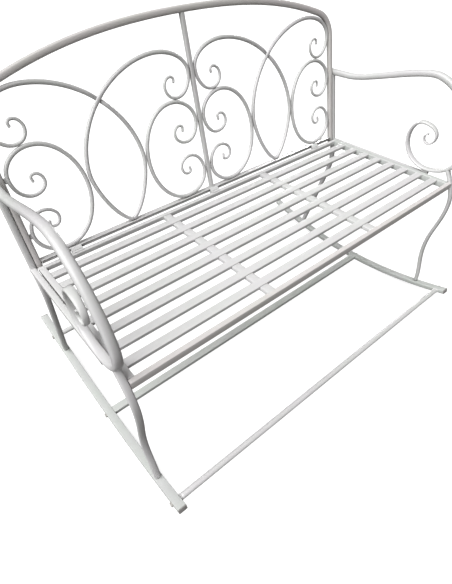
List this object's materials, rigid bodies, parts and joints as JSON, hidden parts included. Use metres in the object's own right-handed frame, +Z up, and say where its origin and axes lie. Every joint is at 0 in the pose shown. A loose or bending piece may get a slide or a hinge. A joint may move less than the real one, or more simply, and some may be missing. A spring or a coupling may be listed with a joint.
{
  "type": "rocking bench",
  "caption": "Off-white two-seat rocking bench of steel tube with a slatted seat, a scrollwork back, scrolled armrests and curved rockers.",
  "frame": {"origin": "centre of the bounding box on the floor, under the middle of the bench", "axes": "+X to the right as seen from the front, +Y from the front edge of the seat to the back, +Z up"},
  "size_m": [1.2602, 0.8896, 0.9658],
  "materials": {
    "painted_steel": "satin",
    "bolt_steel": "satin"
  },
  "bodies": {
    "root": {"armrest_heel_block_left": "painted_steel", "armrest_heel_block_right": "painted_steel", "armrest_left": "painted_steel", "armrest_right": "painted_steel", "back_bottom_rail": "painted_steel", "back_centre_bar": "painted_steel", "back_frame_tube": "painted_steel", "back_loop_inner_left": "painted_steel", "back_loop_inner_right": "painted_steel", "back_loop_outer_left": "painted_steel", "back_loop_outer_right": "painted_steel", "back_scroll_inner_left": "painted_steel", "back_scroll_inner_right": "painted_steel", "back_scroll_outer_left": "painted_steel", "back_scroll_outer_right": "painted_steel", "back_spacer_centre": "painted_steel", "back_spacer_left": "painted_steel", "back_spacer_right": "painted_steel", "front_leg_left": "painted_steel", "front_leg_right": "painted_steel", "rear_leg_post_left": "painted_steel", "rear_leg_post_right": "painted_steel", "rocker_bolt_front_left": "bolt_steel", "rocker_bolt_front_right": "bolt_steel", "rocker_bolt_middle_left": "bolt_steel", "rocker_bolt_middle_right": "bolt_steel", "rocker_bolt_rear_left": "bolt_steel", "rocker_bolt_rear_right": "bolt_steel", "rocker_cap_front_left": "painted_steel", "rocker_cap_front_right": "painted_steel", "rocker_cap_rear_left": "painted_steel", "rocker_cap_rear_right": "painted_steel", "rocker_left": "painted_steel", "rocker_right": "painted_steel", "seat_cross_bar_left": "painted_steel", "seat_cross_bar_right": "painted_steel", "seat_front_rail": "painted_steel", "seat_rear_rail": "painted_steel", "seat_side_rail_left": "painted_steel", "seat_side_rail_right": "painted_steel", "seat_slat_1": "painted_steel", "seat_slat_2": "painted_steel", "seat_slat_3": "painted_steel", "seat_slat_4": "painted_steel", "seat_slat_5": "painted_steel", "seat_slat_6": "painted_steel", "seat_slat_7": "painted_steel", "seat_slat_8": "painted_steel", "side_rail_left": "painted_steel", "side_rail_right": "painted_steel", "stretcher_collar_front_left": "painted_steel", "stretcher_collar_front_right": "painted_steel", "stretcher_collar_rear_left": "painted_steel", "stretcher_collar_rear_right": "painted_steel", "stretcher_front": "painted_steel", "stretcher_middle": "painted_steel", "stretcher_rear": "painted_steel"}
  },
  "joints": []
}
